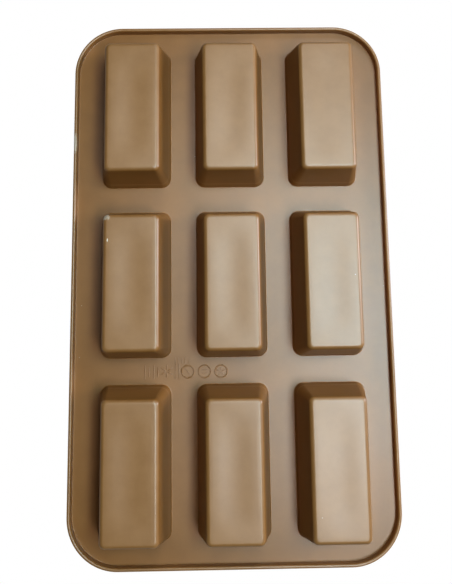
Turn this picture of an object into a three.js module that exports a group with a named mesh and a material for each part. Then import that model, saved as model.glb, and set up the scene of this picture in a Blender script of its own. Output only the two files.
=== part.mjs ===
// Soap loaf mould: a one-piece silicone tray with nine long tapered cups.
//
// The tray is drawn the way it is filled: it stands on the floors of its cups, their mouths open
// upwards, and its rim folds down round the deck. X runs across the tray, Y along it and Z up,
// and the origin is on the surface it stands on, under the middle of the tray. All lengths are in mm.
//
// The moulding is one soft piece. It is divided here where its working zones meet, in flat ground:
// the rim lip that is held, the deck that carries the cups, and for each cup the wall that shapes
// the bar and the floor pad that is pressed to push the bar out.

import * as THREE from 'three';

// Tray
const TRAY_X = 175;
const TRAY_Y = 295;
const TRAY_CORNER = 27;
const CUP_DEPTH = 25; // from the floor's underside to the deck's underside
const SHEET = 2; // thickness of the deck and of the cups' floors

// Cups: the outline of a cup's outside where it meets the deck, its spacing and its slope
const CUP_X = 38;
const CUP_Y = 79.5;
const CUP_CORNER = 5;
const PITCH_X = 52.25;
const PITCH_Y = 94;
const WALL = 1.5;
const TAPER = 4.6; // how far the outside of a wall leans in from the deck to the floor
const FLOOR_CORNER = 2.6;
const EDGE_ROUND = 1.6; // round between a wall and its floor, outside
const FOOT_ROUND = 0.8; // hollow round between a wall and the deck's underside
const MOUTH_ROUND = 0.7; // round on the mouth that the soap is poured into
const FLANGE = 4; // deck that belongs to a cup, outside its foot
const PAD_MARGIN = 3.4; // how far a floor pad keeps inside the foot of its wall
const PAD_CORNER = 1.5;

// Rim
const LIP_DROP = 5; // how far the lip hangs below the deck's underside
const LIP = 2; // thickness of the lip
const LIP_ROUND = 0.8;
const RIM_STRIP = 5; // width of the strip that carries the lip

const CUP_CORNER_STEPS = 4;
const TRAY_CORNER_STEPS = 8;

const silicone = new THREE.MeshStandardMaterial({ color: 0x8f7257, roughness: 0.55, metalness: 0 });

const DECK_TOP = CUP_DEPTH + SHEET;
const LEAN = TAPER / CUP_DEPTH; // how far a wall leans in for each mm that it drops

// A point on a rounded rectangle, counted anticlockwise from the middle of its +X side.
// Each corner takes steps + 1 points, and the straight sides lie between the corners.
function outlinePoint(halfX, halfY, radius, steps, index) {
  const corner = Math.floor(index / (steps + 1)) % 4;
  const angle = ((corner + (index % (steps + 1)) / steps) * Math.PI) / 2;
  const sideX = corner === 0 || corner === 3 ? 1 : -1;
  const sideY = corner < 2 ? 1 : -1;
  return new THREE.Vector2(
    sideX * (halfX - radius) + radius * Math.cos(angle),
    sideY * (halfY - radius) + radius * Math.sin(angle),
  );
}

function outline(halfX, halfY, radius, steps) {
  return Array.from({ length: 4 * (steps + 1) }, (_, index) =>
    outlinePoint(halfX, halfY, radius, steps, index),
  );
}

// A flat sheet with a rounded outline, and holes with outlines of their own.
function sheet(points, holes) {
  const shape = new THREE.Shape(points);
  shape.holes = holes.map((hole) => new THREE.Path(hole));
  return new THREE.ExtrudeGeometry(shape, { depth: SHEET, bevelEnabled: false });
}

// A closed wall section carried round a rounded rectangle. Each point of the section says how far
// it lies inside the rectangle, its height and the corner radius there. The section is turned on a
// lathe, and each quarter of the turning is then moved out to its own corner.
function carriedRound(halfX, halfY, steps, section) {
  const columns = 4 * (steps + 1);
  const closed = [...section, section[0]];
  const profile = closed.map(({ height, radius }) => new THREE.Vector2(radius, height));
  const geometry = new THREE.LatheGeometry(profile, columns);
  const position = geometry.attributes.position;
  for (let column = 0; column <= columns; column += 1) {
    closed.forEach(({ inside, height, radius }, row) => {
      const place = outlinePoint(halfX - inside, halfY - inside, radius, steps, column % columns);
      position.setXYZ(column * closed.length + row, place.x, place.y, height);
    });
  }
  return geometry;
}

// The wall of one cup: from its flange in the deck's top, over the mouth, down the inside, under
// the floor's edge, and up the outside to the deck's underside.
function cupWallSection() {
  const outside = (height) => (CUP_DEPTH - height) * LEAN;
  const cornerOut = (height) =>
    FLOOR_CORNER + ((CUP_CORNER - FLOOR_CORNER) * height) / CUP_DEPTH;
  const mouth = DECK_TOP - MOUTH_ROUND;
  const innerEdge = SHEET + EDGE_ROUND / 2;
  const pad = TAPER + PAD_MARGIN;
  const foot = CUP_DEPTH - FOOT_ROUND;
  return [
    { inside: -FLANGE, height: DECK_TOP, radius: CUP_CORNER + FLANGE },
    { inside: WALL - MOUTH_ROUND, height: DECK_TOP, radius: CUP_CORNER - WALL / 2 + MOUTH_ROUND },
    { inside: outside(mouth) + WALL, height: mouth, radius: CUP_CORNER - WALL / 2 },
    { inside: outside(innerEdge) + WALL, height: innerEdge, radius: FLOOR_CORNER - WALL / 2 },
    { inside: outside(SHEET) + WALL + EDGE_ROUND / 2, height: SHEET, radius: PAD_CORNER - 0.3 },
    { inside: pad, height: SHEET, radius: PAD_CORNER },
    { inside: pad, height: 0, radius: PAD_CORNER },
    { inside: TAPER + EDGE_ROUND, height: 0, radius: PAD_CORNER + 0.5 },
    { inside: TAPER + EDGE_ROUND * 0.3, height: EDGE_ROUND * 0.3, radius: FLOOR_CORNER - 0.3 },
    { inside: outside(EDGE_ROUND), height: EDGE_ROUND, radius: cornerOut(EDGE_ROUND) },
    { inside: outside(foot), height: foot, radius: cornerOut(foot) },
    { inside: -FOOT_ROUND, height: CUP_DEPTH, radius: CUP_CORNER + FOOT_ROUND },
    { inside: -FLANGE, height: CUP_DEPTH, radius: CUP_CORNER + FLANGE },
  ];
}

// The rim: a strip of the deck's edge with the lip that folds down from it.
function rimSection() {
  const lipEnd = CUP_DEPTH - LIP_DROP;
  return [
    { inside: RIM_STRIP, height: CUP_DEPTH, radius: TRAY_CORNER - RIM_STRIP },
    { inside: LIP + LIP_ROUND, height: CUP_DEPTH, radius: TRAY_CORNER - LIP - LIP_ROUND },
    { inside: LIP, height: CUP_DEPTH - LIP_ROUND, radius: TRAY_CORNER - LIP },
    { inside: LIP, height: lipEnd + LIP_ROUND, radius: TRAY_CORNER - LIP },
    { inside: LIP - LIP_ROUND, height: lipEnd, radius: TRAY_CORNER - LIP + LIP_ROUND },
    { inside: LIP_ROUND, height: lipEnd, radius: TRAY_CORNER - LIP_ROUND },
    { inside: 0, height: lipEnd + LIP_ROUND, radius: TRAY_CORNER },
    { inside: 0, height: DECK_TOP - LIP_ROUND, radius: TRAY_CORNER },
    { inside: LIP_ROUND, height: DECK_TOP, radius: TRAY_CORNER - LIP_ROUND },
    { inside: RIM_STRIP, height: DECK_TOP, radius: TRAY_CORNER - RIM_STRIP },
  ];
}

function named(name, geometry) {
  const mesh = new THREE.Mesh(geometry, silicone);
  mesh.name = name;
  return mesh;
}

const rows = [
  { name: 'front', y: -PITCH_Y },
  { name: 'middle', y: 0 },
  { name: 'back', y: PITCH_Y },
];
const columns = [
  { name: 'left', x: -PITCH_X },
  { name: 'centre', x: 0 },
  { name: 'right', x: PITCH_X },
];
const places = rows.flatMap((row) =>
  columns.map((column) => ({ name: `cup_${row.name}_${column.name}`, x: column.x, y: row.y })),
);

function deck() {
  const edge = outline(
    TRAY_X / 2 - RIM_STRIP,
    TRAY_Y / 2 - RIM_STRIP,
    TRAY_CORNER - RIM_STRIP,
    TRAY_CORNER_STEPS,
  );
  const seat = outline(
    CUP_X / 2 + FLANGE,
    CUP_Y / 2 + FLANGE,
    CUP_CORNER + FLANGE,
    CUP_CORNER_STEPS,
  );
  const seats = places.map(({ x, y }) =>
    seat.map((point) => new THREE.Vector2(point.x + x, point.y + y)),
  );
  const mesh = named('deck', sheet(edge, seats));
  mesh.position.z = CUP_DEPTH;
  return mesh;
}

function rim() {
  return named(
    'rim_lip',
    carriedRound(TRAY_X / 2, TRAY_Y / 2, TRAY_CORNER_STEPS, rimSection()),
  );
}

function cup({ name, x, y }) {
  const inside = TAPER + PAD_MARGIN;
  const pad = outline(CUP_X / 2 - inside, CUP_Y / 2 - inside, PAD_CORNER, CUP_CORNER_STEPS);
  const whole = new THREE.Group();
  whole.add(
    named(`${name}_wall`, carriedRound(CUP_X / 2, CUP_Y / 2, CUP_CORNER_STEPS, cupWallSection())),
    named(`${name}_floor`, sheet(pad, [])),
  );
  whole.position.set(x, y, 0);
  return whole;
}

const group = new THREE.Group();
group.add(deck(), rim(), ...places.map(cup));

export default group;
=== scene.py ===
# %% [markdown]
# # A silicone soap loaf mould
#
# This lesson builds the looks of a nine-cup silicone mould round a fixed CAD frame. The mould is
# one soft brown moulding: a flat deck, a rim that folds down round it, and nine long tapered cups
# that each cast one bar. It stands on the floors of its cups with their mouths open upwards. The
# camera looks up from below, at the side that shows how the cups are shaped.
#
# Everything is in metres, with +Z up and the origin on the surface that the mould stands on.

import math

import bmesh
import bpy
from mathutils import Matrix, Vector


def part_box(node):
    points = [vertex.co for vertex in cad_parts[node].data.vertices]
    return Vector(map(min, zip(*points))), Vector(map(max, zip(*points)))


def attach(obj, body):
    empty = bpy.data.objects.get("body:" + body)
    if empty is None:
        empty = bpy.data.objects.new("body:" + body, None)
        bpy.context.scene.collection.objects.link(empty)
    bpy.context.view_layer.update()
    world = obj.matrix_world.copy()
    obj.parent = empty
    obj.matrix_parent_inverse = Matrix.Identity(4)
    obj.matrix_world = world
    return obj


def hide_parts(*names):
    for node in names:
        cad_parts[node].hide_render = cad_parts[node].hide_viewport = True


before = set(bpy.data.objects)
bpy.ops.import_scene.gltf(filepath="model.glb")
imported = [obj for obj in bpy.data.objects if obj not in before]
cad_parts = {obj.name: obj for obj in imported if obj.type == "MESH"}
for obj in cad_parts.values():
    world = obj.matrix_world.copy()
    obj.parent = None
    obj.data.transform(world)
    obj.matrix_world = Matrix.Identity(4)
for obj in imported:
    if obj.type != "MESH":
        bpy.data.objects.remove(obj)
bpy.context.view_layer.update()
MM = 0.001

# %% [markdown]
# ## The camera
#
# The camera comes first, because it decides which details are seen and how large. It stands under
# the mould, a little off its middle, and looks up with the long side of the tray upright in the
# picture. A tracking constraint would pick its own roll for a view that is nearly vertical, so
# the camera's axes come from two cross products with a hint of which way is up. The lamps are
# aimed with the same helper later.

# %% Place the camera
CAMERA_PLACE = Vector((7.7, -16.6, -318.2)) * MM
CAMERA_AIM = Vector((2.5, 30.4, 25.0)) * MM
CAMERA_UP = Vector((-0.0137, 1, 0))
SENSOR_WIDTH, LENS = 36, 38.13
SHIFT_UP = -0.108
NEAREST = 10 * MM


def look_along(place, aim, up_hint):
    """The matrix of a camera or lamp at place that looks at aim, with up_hint upright."""
    look = (aim - place).normalized()
    right = look.cross(up_hint).normalized()
    turn = Matrix((right, right.cross(look), -look)).transposed()
    return Matrix.Translation(place) @ turn.to_4x4()


camera_data = bpy.data.cameras.new("camera")
camera_data.sensor_width = SENSOR_WIDTH
camera_data.lens = LENS
camera_data.shift_y = SHIFT_UP
camera_data.clip_start = NEAREST
camera = bpy.data.objects.new("camera", camera_data)
camera.matrix_world = look_along(CAMERA_PLACE, CAMERA_AIM, CAMERA_UP)
bpy.context.scene.collection.objects.link(camera)
bpy.context.scene.camera = camera
print("camera at", [round(v / MM) for v in CAMERA_PLACE], "mm, lens", camera_data.lens, "mm")

# %% [markdown]
# ## Measures
#
# The frame already knows how big each zone of the moulding is, so the large measures are read
# from it. What a box can't say, such as how far an edge is rounded, is named at the step that
# needs it. The one exception is the flange: each cup's wall has a flat border round its mouth, so
# the cup itself is smaller than the box of its wall by that much on each side.

# %% Read the measures
ROWS = ("front", "middle", "back")
COLUMNS = ("left", "centre", "right")
CUPS = [f"cup_{row}_{column}" for row in ROWS for column in COLUMNS]
FLANGE = 4 * MM


def half_size(node):
    """Half of a CAD node's length along X and along Y."""
    low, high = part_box(node)
    return (high.x - low.x) / 2, (high.y - low.y) / 2


def middle_of(node):
    """The point on the ground under the middle of a CAD node."""
    low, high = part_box(node)
    return Vector(((low.x + high.x) / 2, (low.y + high.y) / 2, 0))


TRAY_X, TRAY_Y = half_size("rim_lip")
DECK_X = half_size("deck")[0]
PAD_X, PAD_Y = half_size("cup_middle_centre_floor")
CUP_X, CUP_Y = (size - FLANGE for size in half_size("cup_middle_centre_wall"))
RIM_STRIP = TRAY_X - DECK_X
LIP_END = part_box("rim_lip")[0].z
UNDER, TOP = (corner.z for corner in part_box("deck"))
SHEET = TOP - UNDER
print("a cup at the deck in mm:", round(2 * CUP_X / MM, 1), "by", round(2 * CUP_Y / MM, 1))

# %% [markdown]
# ## Rounded loops, carried up a section
#
# Every part of this moulding is one wall section carried round a rounded rectangle. A cube with
# bevelled edges could not let the corners tighten from the deck down to the floor. Here the first
# loop is four vertices whose corners a vertex bevel rounds off. It is then extruded once for each
# point of the section, and each new loop is slid to that point's level: how far it lies inside
# the rectangle, its height, and its corner radius. The last loop is bridged to the first. All the
# faces are long clean strips, and the rounds run on smoothly through the corners.

# %% A rounded loop
CORNER_STEPS = 12


def rounded_loop(bm, half_x, half_y, level, middle, steps=CORNER_STEPS):
    """Adds the edges of a rounded rectangle at a level, which is (inside, height, radius)."""
    inside, height, radius = level
    corners = [
        bm.verts.new(middle + Vector((x * (half_x - inside), y * (half_y - inside), height)))
        for x, y in ((1, 1), (-1, 1), (-1, -1), (1, -1))
    ]
    others = set(bm.edges)
    for start, end in zip(corners, corners[1:] + corners[:1]):
        bm.edges.new((start, end))
    bmesh.ops.bevel(
        bm, geom=corners, offset=radius, offset_type="OFFSET", segments=steps,
        profile=0.5, affect="VERTICES", material=-1,
    )
    return [edge for edge in bm.edges if edge not in others]


print("a rounded corner has", CORNER_STEPS, "steps")


# %% A section carried round
def slide(vert, half_x, half_y, here, there, middle):
    """Moves a vertex from its place on one level's loop to the same place on another's."""
    inside, _, radius = here
    next_inside, next_height, next_radius = there
    place = []
    for half, offset in zip((half_x, half_y), (vert.co - middle).xy):
        side = math.copysign(1, offset)
        turned = (offset - side * (half - inside - radius)) / radius
        place.append(side * (half - next_inside - next_radius) + turned * next_radius)
    vert.co = middle + Vector((*place, next_height))


def carry_round(bm, half_x, half_y, section, middle, steps=CORNER_STEPS):
    """Carries a section round a rounded rectangle and closes it into a ring of wall."""
    first = loop = rounded_loop(bm, half_x, half_y, section[0], middle, steps)
    for here, there in zip(section, section[1:]):
        made = bmesh.ops.extrude_edge_only(bm, edges=loop)["geom"]
        moved = {item for item in made if isinstance(item, bmesh.types.BMVert)}
        loop = [
            item for item in made
            if isinstance(item, bmesh.types.BMEdge) and moved.issuperset(item.verts)
        ]
        for vert in moved:
            slide(vert, half_x, half_y, here, there, middle)
    bmesh.ops.bridge_loops(bm, edges=first + loop)


print("helpers:", slide.__name__, "and", carry_round.__name__)

# %% A round between two levels
ROUND_STEPS = 6
FLOOR_EDGE_STEPS = 8


def arc(start, corner, end, steps=ROUND_STEPS):
    """The levels of a smooth round from start to end, in place of the sharp corner."""
    levels = []
    for step in range(steps + 1):
        turn = math.pi / 2 * step / steps
        to_start, to_end = 1 - math.sin(turn), 1 - math.cos(turn)
        levels.append(tuple(
            c + (s - c) * to_start + (e - c) * to_end for s, c, e in zip(start, corner, end)
        ))
    return levels


print("a small round has", ROUND_STEPS, "steps, the edge of a cup's floor", FLOOR_EDGE_STEPS)

# %% [markdown]
# ## From a bmesh to a piece
#
# A finished bmesh has its doubles merged and its faces turned outwards, and then becomes a mesh.
# Edges that bend by more than 40 degrees stay crisp. Smooth shading alone would smear the bend of
# a small round over the large flat face beside it, so a Weighted Normal modifier lets the large
# faces decide how the light falls.

# %% Helper for pieces
SAME_PLACE = 0.0001 * MM
CRISP_BEND = 40


def finish_piece(bm, name, nodes, material):
    """Makes a bmesh a piece that rides on the frame and stands for the named CAD nodes."""
    bmesh.ops.remove_doubles(bm, verts=bm.verts, dist=SAME_PLACE)
    bmesh.ops.recalc_face_normals(bm, faces=bm.faces)
    mesh = bpy.data.meshes.new(name)
    bm.to_mesh(mesh)
    bm.free()
    mesh.materials.append(material)
    mesh.shade_smooth()
    mesh.set_sharp_from_angle(angle=math.radians(CRISP_BEND))
    piece = bpy.data.objects.new(name, mesh)
    bpy.context.scene.collection.objects.link(piece)
    weighted = piece.modifiers.new("large faces decide", "WEIGHTED_NORMAL")
    weighted.keep_sharp = True
    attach(piece, "root")
    if nodes:
        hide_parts(*nodes)
    return piece


print("edges stay crisp where they bend by more than", CRISP_BEND, "degrees")

# %% [markdown]
# ## Shader maths
#
# A finish is easier to read as arithmetic than as a web of nodes. The first small class here
# wraps a socket, so that an expression such as 0.4 + 0.1 * clouds adds the Math nodes that it
# needs. The second one is the recipe of one material: it adds every other node, and colours and
# vectors go through its Mix and Vector Math nodes.

# %% A value that changes over a surface
class Value:
    """A number that changes over a surface. An expression on it adds a Math node."""

    def __init__(self, recipe, socket):
        self.recipe = recipe
        self.socket = socket

    def maths(self, operation, *numbers, clamp=False):
        settings = {"operation": operation, "use_clamp": clamp}
        return self.recipe.node("ShaderNodeMath", settings, dict(enumerate(numbers)))["Value"]

    def __add__(self, other):
        return self.maths("ADD", self, other)

    def __sub__(self, other):
        return self.maths("SUBTRACT", self, other)

    def __rsub__(self, other):
        return self.maths("SUBTRACT", other, self)

    def __mul__(self, other):
        return self.maths("MULTIPLY", self, other)

    __radd__ = __add__
    __rmul__ = __mul__

    def clamped(self):
        """The value held between 0 and 1."""
        return self.maths("ADD", self, 0, clamp=True)

    def largest(self, other):
        return self.maths("MAXIMUM", self, other)

    def ramp(self, start, end):
        """0 where the value is at start, 1 where it is at end, and smooth between."""
        settings = {"interpolation_type": "SMOOTHSTEP"}
        inputs = {"Value": self, "From Min": start, "From Max": end}
        return self.recipe.node("ShaderNodeMapRange", settings, inputs)["Result"]


print("helper:", Value.__name__)

# %% The recipe of a finish
class Recipe:
    """The nodes of one material, or of the world."""

    def __init__(self, owner):
        owner.use_nodes = True
        self.owner = owner
        self.tree = owner.node_tree
        self.tree.nodes.clear()

    def node(self, kind, settings, inputs):
        """Adds a node and returns its outputs by name."""
        made = self.tree.nodes.new(kind)
        for name, value in settings.items():
            setattr(made, name, value)
        for name, value in inputs.items():
            if isinstance(value, Value):
                self.tree.links.new(value.socket, made.inputs[name])
            else:
                made.inputs[name].default_value = value
        return {output.name: Value(self, output) for output in made.outputs if output.enabled}

    def noise(self, place, scale, detail=2, roughness=0.5):
        """A soft pattern between 0 and 1, with about one patch to each 1/scale of a metre."""
        inputs = {"Vector": place, "Scale": scale, "Detail": detail, "Roughness": roughness}
        return self.node("ShaderNodeTexNoise", {}, inputs)["Fac"]

    def vector(self, operation, first, second):
        """A vector worked out from two others."""
        inputs = {0: first, 1: second}
        return self.node("ShaderNodeVectorMath", {"operation": operation}, inputs)["Vector"]

    def blend(self, factor, first, second):
        """A colour between two others."""
        inputs = {0: factor, 6: first, 7: second}
        return self.node("ShaderNodeMix", {"data_type": "RGBA"}, inputs)["Result"]


print("helper:", Recipe.__name__)

# %% [markdown]
# ## The silicone
#
# Moulding silicone is opaque and satin. Where it lies in shade its brown is deep and warm, and
# where it mirrors a large lamp it turns pale. One Principled shader gives both, as long as the
# colour itself stays dark and the roughness is in the middle of its range.
#
# A colour with no change in it would look like paint, so the finish is built in layers, one to
# each of the next cells. All of them start from three facts about a point of the surface: its
# place in the object, its height, and whether it faces up. Only the insides of the cups and the
# deck's top face up.

# %% Start the silicone
silicone = Recipe(bpy.data.materials.new("silicone"))
place = silicone.node("ShaderNodeTexCoord", {}, {})["Object"]
height = silicone.node("ShaderNodeSeparateXYZ", {}, {"Vector": place})["Z"]
facing = silicone.node("ShaderNodeNewGeometry", {}, {})["Normal"]
upward = silicone.node("ShaderNodeSeparateXYZ", {}, {"Vector": facing})["Z"].ramp(0.05, 0.15)
print("finish:", silicone.owner.name)

# %% [markdown]
# ### Pigment
#
# Pigment is stirred into the silicone by hand or by rollers, and it never spreads quite evenly.
# Wide clouds and a finer mottle move the colour a little between two browns.

# %% The pigment
DEEP_BROWN = (0.245, 0.100, 0.014, 1)
WARM_BROWN = (0.290, 0.122, 0.020, 1)
CLOUD_SCALE, MOTTLE_SCALE = 14, 110
clouds = silicone.noise(place, CLOUD_SCALE, 3)
mottle = silicone.noise(place, MOTTLE_SCALE, 4, 0.6)
pigment = (clouds * 0.5 + mottle * 0.5).ramp(0.3, 0.7)
colour = silicone.blend(pigment, DEEP_BROWN, WARM_BROWN)
print("pigment from", DEEP_BROWN[:3], "to", WARM_BROWN[:3])

# %% [markdown]
# ### Rubbed feet and lip
#
# The feet of the cups slide on the table and the end of the lip slides through hands, so both are
# paler. Height alone finds them. The mottle makes the wear patchy.

# %% The rubbed feet and lip
RUBBED_BROWN = (0.38, 0.205, 0.085, 1)
FOOT_WEAR = 1.9 * MM
LIP_WEAR = UNDER - 3.2 * MM
foot = height.ramp(FOOT_WEAR, 0.3 * MM) * (1 - upward)
above_lip_end = height.ramp(LIP_END - 1 * MM, LIP_END)
lip = height.ramp(LIP_WEAR, LIP_END + 0.4 * MM) * above_lip_end
rubbed = (foot * 0.45 + lip * 0.5) * (0.6 + 0.8 * mottle)
colour = silicone.blend(rubbed.clamped(), colour, RUBBED_BROWN)
print("rubbed below", FOOT_WEAR / MM, "mm, and the lip below", round(LIP_WEAR / MM, 1), "mm")

# %% [markdown]
# ### Soap film
#
# Soap leaves a thin dull film in a cup, thickest near its floor, and traces of it on the deck. It
# runs down the walls, so its noise is stretched upwards.

# %% The soap film
SOAP_FILM = (0.62, 0.54, 0.43, 1)
STREAK_SCALE = (260, 260, 40)
FILM_TOP = 16 * MM
inside = upward * height.ramp(FILM_TOP, SHEET)
stretched = silicone.vector("MULTIPLY", place, STREAK_SCALE)
streaks = silicone.noise(stretched, 1, 4, 0.6).ramp(0.5, 0.75)
traces = mottle.ramp(0.55, 0.75)
film = inside * (0.15 + 0.6 * streaks) + upward * 0.12 * traces
colour = silicone.blend(film.clamped() * 0.55, colour, SOAP_FILM)
print("soap film streaks:", STREAK_SCALE[0], "to a metre across,", STREAK_SCALE[2], "upwards")

# %% [markdown]
# ### Dust
#
# Silicone holds static, so dust settles on it in specks. A Voronoi pattern has one point to each
# of its cells. The middles of the cells would make an even scatter, so each cell's own colour
# chooses one cell in five.

# %% The dust
DUST = (0.75, 0.68, 0.58, 1)
SPECK_SCALE = 95
cells = {"feature": "F1", "voronoi_dimensions": "3D"}
inputs = {"Vector": place, "Scale": SPECK_SCALE, "Randomness": 1}
specks = silicone.node("ShaderNodeTexVoronoi", cells, inputs)
chosen = silicone.node("ShaderNodeSeparateColor", {}, {"Color": specks["Color"]})["Red"]
dust = specks["Distance"].ramp(0.030, 0.012) * chosen.ramp(0.80, 0.82)
print("dust cells:", SPECK_SCALE, "to a metre")

# %% [markdown]
# ### Small marks
#
# The mould has a few marks at places of their own: a corner that is frayed, a small pale speck,
# a pale patch on the lip, and a small pit from an air bubble, whose dark colour is painted shade.
# Each one is a soft ellipsoid in the object's own space. Noise on the distance makes its outline
# ragged.

# %% The small marks
# The pit's dark brown is painted shade in its hollow, on top of its dip in the bump.
PAINTED_PIT_SHADE = (0.05, 0.03, 0.015, 1)
FRAY_SCALE = 900


def spot_at(place, radii):
    """The middle and the radii of an ellipsoid, given in millimetres."""
    return tuple(Vector(place) * MM), tuple(radius * MM for radius in radii)


NICK = spot_at((65.6, 34.3, 1.2), (2.9, 2.0, 2.8))
# A small pale speck near the edge of a cup's floor.
PALE_SPECK = spot_at((64.3, 21.9, 0.0), (0.30, 0.85, 0.6))
# A pale patch on the lip of the rim.
PALE_LIP_PATCH = spot_at((87.2, 79.5, 21.0), (2.0, 6.5, 3.0))
PIT = spot_at((-36.5, -105.5, 25.0), (0.5, 0.7, 0.7))


def near(spot, ragged=0.0):
    """How far the surface is from a spot, in radii of its ellipsoid."""
    middle, radii = spot
    offset = silicone.vector("SUBTRACT", place, middle)
    scaled = silicone.vector("DIVIDE", offset, radii)
    length = {"operation": "LENGTH"}
    distance = silicone.node("ShaderNodeVectorMath", length, {0: scaled})["Value"]
    return distance + ragged * (silicone.noise(place, FRAY_SCALE, 3) - 0.5)


# The pale speck, which is also raised a little in the bump.
pale_speck = near(PALE_SPECK).ramp(1.2, 0.8)
frayed = near(NICK, 1.8).ramp(1.15, 0.65)
# The pale patch on the lip, with a ragged outline.
pale_lip_patch = near(PALE_LIP_PATCH, 1.0).ramp(1.1, 0.5)
pit = near(PIT).ramp(1.1, 0.7)
colour = silicone.blend((dust * 0.7).largest(pale_speck).clamped(), colour, DUST)
colour = silicone.blend((frayed * 0.55).largest(pale_lip_patch * 0.6).clamped(), colour, SOAP_FILM)
# Painted shade: the pit is darkened in the colour.
colour = silicone.blend(pit, colour, PAINTED_PIT_SHADE)
print("the frayed corner is at", [round(value / MM, 1) for value in NICK[0]], "mm")

# %% [markdown]
# ### Gloss and relief
#
# The moulding tool leaves a fine grain and pores, which only bump can give at this size. Where
# film or dust lies the surface is duller, and where it is rubbed it is a little smoother.

# %% Finish the silicone
GRAIN_SCALE, PORE_SCALE = 2600, 700
grain = silicone.noise(place, GRAIN_SCALE, 2)
pores = silicone.noise(place, PORE_SCALE, 3)
rough = (
    0.385 + 0.05 * clouds + 0.03 * mottle + 0.10 * film
    + 0.12 * frayed.largest(dust) - 0.02 * rubbed
)
relief = (
    grain * 0.6 + pores * 0.35 + mottle * 0.2
    + frayed * pores * 4 + pale_speck * 2 + dust - pit * 2
)
inputs = {"Strength": 0.16, "Distance": 0.2 * MM, "Height": relief}
bump = silicone.node("ShaderNodeBump", {}, inputs)
shader = silicone.node("ShaderNodeBsdfPrincipled", {}, {
    "Base Color": colour, "Roughness": rough.clamped(), "Normal": bump["Normal"],
    "IOR": 1.5, "Specular IOR Level": 1.0,
})
silicone.node("ShaderNodeOutputMaterial", {}, {"Surface": shader["BSDF"]})
print("finish:", silicone.owner.name, "with", len(silicone.tree.nodes), "nodes")

# %% [markdown]
# ## The rim
#
# The rim is what hands hold. The edge of the deck turns down into a short lip with a rounded end,
# which keeps the soft sheet from curling. Its section goes from the deck outwards under the
# strip, down the inside of the lip, round its end and up the outside, with a soft fillet in each
# bend. The lip ends a little above the lowest point that the frame gives it, which keeps the band
# of light along its rounded end narrow.

# %% Make the rim
TRAY_CORNER = 27 * MM
TRAY_STEPS = 24
TRAY_MIDDLE = Vector((0, 0, 0))
LIP = 1.9 * MM
LIP_FILLET = 0.2 * MM
LIP_ROUND = 0.9 * MM
RIM_ROUND = 0.9 * MM
LIP_LOW = LIP_END + 0.8 * MM


def rim_level(inside, height):
    """The level of the rim's section at a distance in from its outer side."""
    return inside, height, TRAY_CORNER - inside


def bend(start, corner, end):
    """A round in the rim's section, from three points that are each (inside, height)."""
    return arc(*(rim_level(*point) for point in (start, corner, end)))


section = [rim_level(RIM_STRIP, UNDER)]
section += bend((LIP + LIP_FILLET, UNDER), (LIP, UNDER), (LIP, UNDER - LIP_FILLET))
section += bend((LIP, LIP_LOW + LIP_ROUND), (LIP, LIP_LOW), (LIP - LIP_ROUND, LIP_LOW))
section += bend((LIP_ROUND, LIP_LOW), (0, LIP_LOW), (0, LIP_LOW + LIP_ROUND))
section += bend((0, TOP - RIM_ROUND), (0, TOP), (RIM_ROUND, TOP))
section += [rim_level(RIM_STRIP, TOP)]
bm = bmesh.new()
carry_round(bm, TRAY_X, TRAY_Y, section, TRAY_MIDDLE, TRAY_STEPS)
rim = finish_piece(bm, "rim", ["rim_lip"], silicone.owner)
print("rim:", len(rim.data.polygons), "faces")

# %% [markdown]
# ## The deck
#
# The deck is the flat sheet that joins the cups. A triangle fill between its outer loop and the
# nine seats gives a flat sheet with nine holes, and an extrusion gives it its thickness.

# %% Make the deck
CUP_CORNER = 5 * MM
SEAT = (-FLANGE, UNDER, CUP_CORNER + FLANGE)

bm = bmesh.new()
edges = rounded_loop(
    bm, TRAY_X, TRAY_Y, rim_level(RIM_STRIP, UNDER), TRAY_MIDDLE, TRAY_STEPS,
)
for cup in CUPS:
    edges += rounded_loop(bm, CUP_X, CUP_Y, SEAT, middle_of(cup + "_wall"))
bmesh.ops.triangle_fill(bm, use_beauty=True, edges=edges, normal=(0, 0, 1))
lifted = bmesh.ops.extrude_face_region(bm, geom=bm.faces[:])["geom"]
upper = [item for item in lifted if isinstance(item, bmesh.types.BMVert)]
bmesh.ops.translate(bm, vec=(0, 0, SHEET), verts=upper)
deck = finish_piece(bm, "deck_sheet", ["deck"], silicone.owner)
print("deck:", len(deck.data.polygons), "faces")

# %% [markdown]
# ## The cup walls
#
# A cup wall starts as a flange in the deck, rolls over the mouth, goes down the inside with a
# small fillet at the floor, and comes back up the outside to a fillet under the deck. The outside
# leans in by the same amount on all four sides, so the corner radius has to shrink on the way
# down.

# %% The slope of a cup
WALL = 1.5 * MM
TAPER = 4.6 * MM
FLOOR_CORNER = 2.6 * MM


def outer(height):
    """The level of the outside of a cup wall at a height."""
    inside = (UNDER - height) * TAPER / UNDER
    return inside, height, FLOOR_CORNER + (CUP_CORNER - FLOOR_CORNER) * height / UNDER


def inner(height):
    """The level of the inside of a cup wall at a height."""
    inside, height, radius = outer(height)
    return inside + WALL, height, radius - WALL / 2


print("the walls lean by", round(math.degrees(math.atan(TAPER / UNDER)), 1), "degrees")

# %% Make the cup walls
PAD_CORNER = 1.5 * MM
PAD_INSET = CUP_X - PAD_X
MOUTH_ROUND = 0.8 * MM
INNER_FILLET = 1.6 * MM
EDGE_ROUND = 1.9 * MM
FOOT_ROUND = 0.35 * MM

mouth = inner(TOP)
above_mouth = (mouth[0] - MOUTH_ROUND, TOP, mouth[2] + MOUTH_ROUND)
bottom = inner(SHEET)
beside_bottom = (bottom[0] + INNER_FILLET, SHEET, PAD_CORNER)
under_deck = (-FOOT_ROUND, UNDER, CUP_CORNER + FOOT_ROUND)

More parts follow.
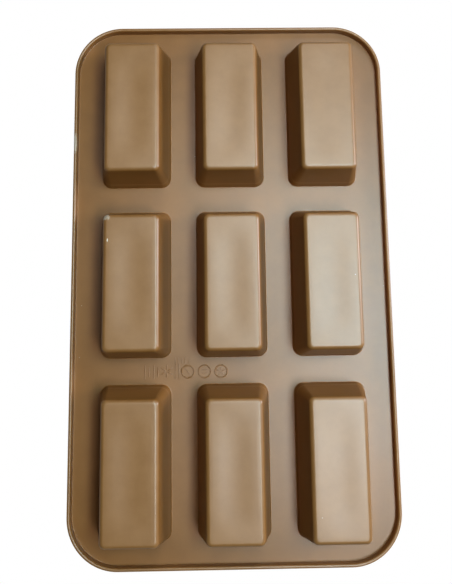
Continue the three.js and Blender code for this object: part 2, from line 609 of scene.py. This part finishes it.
wall_section = [(SEAT[0], TOP, SEAT[2])]
wall_section += arc(above_mouth, mouth, inner(TOP - MOUTH_ROUND))
wall_section += arc(inner(SHEET + INNER_FILLET), bottom, beside_bottom)
wall_section += [(PAD_INSET, SHEET, PAD_CORNER), (PAD_INSET, 0, PAD_CORNER)]
wall_section += arc(
    (TAPER + EDGE_ROUND, 0, PAD_CORNER), outer(0), outer(EDGE_ROUND), FLOOR_EDGE_STEPS,
)
wall_section += arc(outer(UNDER - FOOT_ROUND), outer(UNDER), under_deck)
wall_section += [SEAT]

for cup in CUPS:
    bm = bmesh.new()
    carry_round(bm, CUP_X, CUP_Y, wall_section, middle_of(cup + "_wall"))
    wall = finish_piece(bm, cup + "_shell", [cup + "_wall"], silicone.owner)
print("each wall:", len(wall.data.polygons), "faces")

# %% [markdown]
# ## The cup floors
#
# Silicone shrinks as it cures, so a cup's floor is drawn up a little in its middle and only its
# border touches the table. Each floor is a fine grid with its four corners rounded by a vertex
# bevel. A smooth curve lifts the grid's vertices, and an extrusion gives it its thickness. A fan
# of faces inside one outline could not follow the curve, which is why a grid was chosen.

# %% Make the cup floors
DISH = 0.40 * MM
GRID = (12, 32)


def dished(place):
    """How far a point of a cup's floor is drawn up: nothing at the border, most in the middle."""
    across, along = (place.x / PAD_X) ** 2, (place.y / PAD_Y) ** 2
    return DISH * (1 - across) ** 2 * (1 - along ** 2) ** 2


for cup in CUPS:
    bm = bmesh.new()
    bmesh.ops.create_grid(bm, x_segments=GRID[0], y_segments=GRID[1], size=1)
    bmesh.ops.scale(bm, vec=(PAD_X, PAD_Y, 1), verts=bm.verts)
    corners = [vert for vert in bm.verts if len(vert.link_edges) == 2]
    bmesh.ops.bevel(
        bm, geom=corners, offset=PAD_CORNER, segments=CORNER_STEPS,
        profile=0.5, affect="VERTICES", material=-1,
    )
    for vert in bm.verts:
        vert.co.z = dished(vert.co)
    lifted = bmesh.ops.extrude_face_region(bm, geom=bm.faces[:])["geom"]
    upper = [item for item in lifted if isinstance(item, bmesh.types.BMVert)]
    bmesh.ops.translate(bm, vec=(0, 0, SHEET), verts=upper)
    bmesh.ops.translate(bm, vec=middle_of(cup + "_floor"), verts=bm.verts)
    pad = finish_piece(bm, cup + "_pad", [cup + "_floor"], silicone.owner)
print("each floor:", len(pad.data.polygons), "faces")

# %% [markdown]
# ## The moulded marks
#
# Under the deck, in the gap between two rows, the moulding tool leaves a line of small raised
# marks. Here they are plain rings, bars and stars. Each one is a closed shell that is half sunk
# in the sheet, so its lower half stands out as a thin rounded ridge. A ring is a small circle
# spun round an axis, and a bar is a stretched cube with its edges bevelled.

# %% Bars, rings and stars
LINE = 0.5 * MM
RAISED = 0.36 * MM


def raised_bar(bm, x, y, length, angle=math.pi / 2):
    """A ridge of a length round a point, turned from the X axis by an angle."""
    place = Matrix.Translation((x, y, UNDER)) @ Matrix.Rotation(angle, 4, "Z")
    size = Matrix.Diagonal((length, LINE, 2 * RAISED, 1))
    made = bmesh.ops.create_cube(bm, size=1, matrix=place @ size)["verts"]
    edges = list({edge for vert in made for edge in vert.link_edges})
    bmesh.ops.bevel(
        bm, geom=edges, offset=LINE / 4, segments=2, profile=0.5, affect="EDGES", material=-1,
    )


def raised_ring(bm, x, y, radius):
    """A round ridge round a point."""
    centre = Vector((x, y, UNDER))
    start = Matrix.Translation(centre + Vector((radius, 0, 0)))
    upright = start @ Matrix.Rotation(math.pi / 2, 4, "X")
    made = bmesh.ops.create_circle(bm, segments=10, radius=RAISED, matrix=upright)["verts"]
    edges = list({edge for vert in made for edge in vert.link_edges})
    bmesh.ops.spin(
        bm, geom=edges, cent=centre, axis=(0, 0, 1), angle=2 * math.pi, steps=36, use_merge=True,
    )


def raised_star(bm, x, y, inner_end, outer_end, arms):
    """Short ridges that point away from a point without touching each other."""
    for arm in range(arms):
        angle = math.pi / 2 + 2 * math.pi * arm / arms
        middle = (inner_end + outer_end) / 2
        across, along = x + middle * math.cos(angle), y + middle * math.sin(angle)
        raised_bar(bm, across, along, outer_end - inner_end, angle)


print("ridges stand out", round(RAISED / MM, 2), "mm")

# %% Make the moulded marks
MARK_ROW = -47.5 * MM
NOTE_ROW = -41.6 * MM
CROSSED, LINED, STARRED = (x * MM for x in (24.3, 15.2, 6.2))
LONG, SHORT, NOTE = 7.4 * MM, 5.0 * MM, 3.2 * MM

bm = bmesh.new()
for x in (CROSSED, LINED, STARRED):
    raised_ring(bm, x, MARK_ROW, 3.3 * MM)
raised_bar(bm, CROSSED, MARK_ROW, 4.6 * MM, math.radians(50))
for side in (-1, 1):
    raised_bar(bm, LINED, MARK_ROW + side * 0.8 * MM, 3.2 * MM, 0)
raised_star(bm, STARRED, MARK_ROW, 0.7 * MM, 2.4 * MM, arms=5)
raised_star(bm, 35.6 * MM, MARK_ROW + 0.4 * MM, 0.8 * MM, 3.4 * MM, arms=6)
for x in (47.4, 42.6, 30.9, 28.9):
    raised_bar(bm, x * MM, MARK_ROW, LONG)
for x in (45.2, 40.4):
    raised_bar(bm, x * MM, MARK_ROW, SHORT)
for x in (31.0, 29.4, 27.2, 25.6, 23.4):
    raised_bar(bm, x * MM, NOTE_ROW, NOTE)
marks = finish_piece(bm, "moulded_marks", [], silicone.owner)
print("marks:", len(marks.data.polygons), "faces")

# %% [markdown]
# ## The floor
#
# The floor is pale and plain, and lies just under the cups. The main camera looks up from under
# it, so its lower side is clear, and it is kept out of reflections, bounced light and shadows.
# From above it looks like any studio floor.

# %% The floor
PALE = (0.86, 0.86, 0.85, 1)
FLOOR_REACH = 4
FLOOR_HEIGHT = -0.2 * MM


def studio_floor():
    """A wide sheet that shows only from above."""
    recipe = Recipe(bpy.data.materials.new("studio_floor"))
    behind = recipe.node("ShaderNodeNewGeometry", {}, {})["Backfacing"]
    plain = recipe.node("ShaderNodeBsdfDiffuse", {}, {"Color": PALE})
    clear = recipe.node("ShaderNodeBsdfTransparent", {}, {})
    inputs = {0: behind, 1: plain["BSDF"], 2: clear["BSDF"]}
    mixed = recipe.node("ShaderNodeMixShader", {}, inputs)
    recipe.node("ShaderNodeOutputMaterial", {}, {"Surface": mixed["Shader"]})
    bm = bmesh.new()
    bmesh.ops.create_grid(bm, x_segments=1, y_segments=1, size=FLOOR_REACH)
    bmesh.ops.translate(bm, vec=(0, 0, FLOOR_HEIGHT), verts=bm.verts)
    mesh = bpy.data.meshes.new("studio_floor")
    bm.to_mesh(mesh)
    bm.free()
    mesh.materials.append(recipe.owner)
    floor = bpy.data.objects.new("studio_floor", mesh)
    bpy.context.scene.collection.objects.link(floor)
    floor.visible_diffuse = False
    floor.visible_glossy = False
    floor.visible_transmission = False
    floor.visible_shadow = False


studio_floor()
print("the floor reaches", FLOOR_REACH, "m to each side")

# %% [markdown]
# ## The lamps
#
# A satin surface shows its shape by what it mirrors, so the lamps are large and soft. Five stand
# below the floor, where the main camera looks from. All of them are on one side of it, which
# leaves a soft shade beside each cup. A wide sun and one more lamp light the top for views from
# above. Every lamp looks at the middle of the mould.

# %% The lamps
LAMP_AIM = Vector((0, 0, 0.02))
LAMP_UP = Vector((0, 1, 0))


def lamp(name, kind, place, power, colour, size, length=None):
    """A soft lamp that looks at the mould. A sun has an angle for its size."""
    data = bpy.data.lights.new(name, kind)
    data.energy = power
    data.color = colour
    if kind == "SUN":
        data.angle = size
    else:
        data.shape = "ELLIPSE"
        data.size = size
        data.size_y = length or size
    made = bpy.data.objects.new(name, data)
    made.matrix_world = look_along(Vector(place), LAMP_AIM, LAMP_UP)
    made.visible_camera = False
    bpy.context.scene.collection.objects.link(made)


lamp("window_below", "AREA", (-0.312, 0.025, -0.844), 4.7, (0.54, 0.85, 1.0), 0.20, 0.50)
lamp("front_below", "AREA", (-0.245, -0.286, -0.817), 2.7, (0.95, 0.98, 1.0), 0.20)
lamp("back_below", "AREA", (-0.087, 0.217, -0.869), 2.3, (0.98, 1.0, 0.96), 0.24)
lamp("side_below", "AREA", (-0.857, 0.123, -0.245), 6.2, (0.78, 0.84, 1.0), 0.30)
lamp("end_below", "AREA", (-0.223, 0.670, -0.559), 1.25, (0.84, 0.94, 1.08), 0.30)
lamp("sky_above", "SUN", (-0.5, -0.4, 1.0), 1.3, (1, 0.99, 0.97), math.radians(40))
lamp("window_above", "AREA", (0.38, 0.5, 1.0), 4, (1, 1, 1), 0.7)
print("lamps:", sorted(light.name for light in bpy.data.lights))

# %% [markdown]
# ## The surroundings
#
# The camera sees plain white all round. What lights the mould is another matter: it is soft above
# the horizon and nearly dark below it, so that the lamps below keep their shade. The Light Path
# node tells the two apart.

# %% The surroundings
WHITE = (1, 1, 1, 1)
WARM_HORIZON = (1, 0.85, 0.65, 1)
GLOW_BELOW, GLOW_ABOVE = 0.01, 0.5


def surroundings():
    """White where the camera sees it, soft above the horizon and nearly dark below it."""
    recipe = Recipe(bpy.data.worlds.new("studio"))
    direction = recipe.node("ShaderNodeTexCoord", {}, {})["Generated"]
    height = recipe.node("ShaderNodeSeparateXYZ", {}, {"Vector": direction})["Z"]
    above = height.ramp(0.0, 0.12)
    seen = recipe.node("ShaderNodeBackground", {}, {"Color": WHITE, "Strength": 1})
    colour = recipe.blend(above, WARM_HORIZON, WHITE)
    glow = {"Color": colour, "Strength": GLOW_BELOW + GLOW_ABOVE * above}
    lit = recipe.node("ShaderNodeBackground", {}, glow)
    by_camera = recipe.node("ShaderNodeLightPath", {}, {})["Is Camera Ray"]
    inputs = {0: by_camera, 1: lit["Background"], 2: seen["Background"]}
    mixed = recipe.node("ShaderNodeMixShader", {}, inputs)
    recipe.node("ShaderNodeOutputWorld", {}, {"Surface": mixed["Shader"]})
    bpy.context.scene.world = recipe.owner


surroundings()
print("surroundings:", bpy.context.scene.world.name)

# %% [markdown]
# ## The view
#
# The Standard view transform keeps white white. A gamma a little under 1 deepens the shade
# between the cups.

# %% The view
view = bpy.context.scene.view_settings
view.view_transform = "Standard"
view.gamma = 0.85
view.exposure = 0
print("view:", view.view_transform, "with gamma", round(view.gamma, 2))
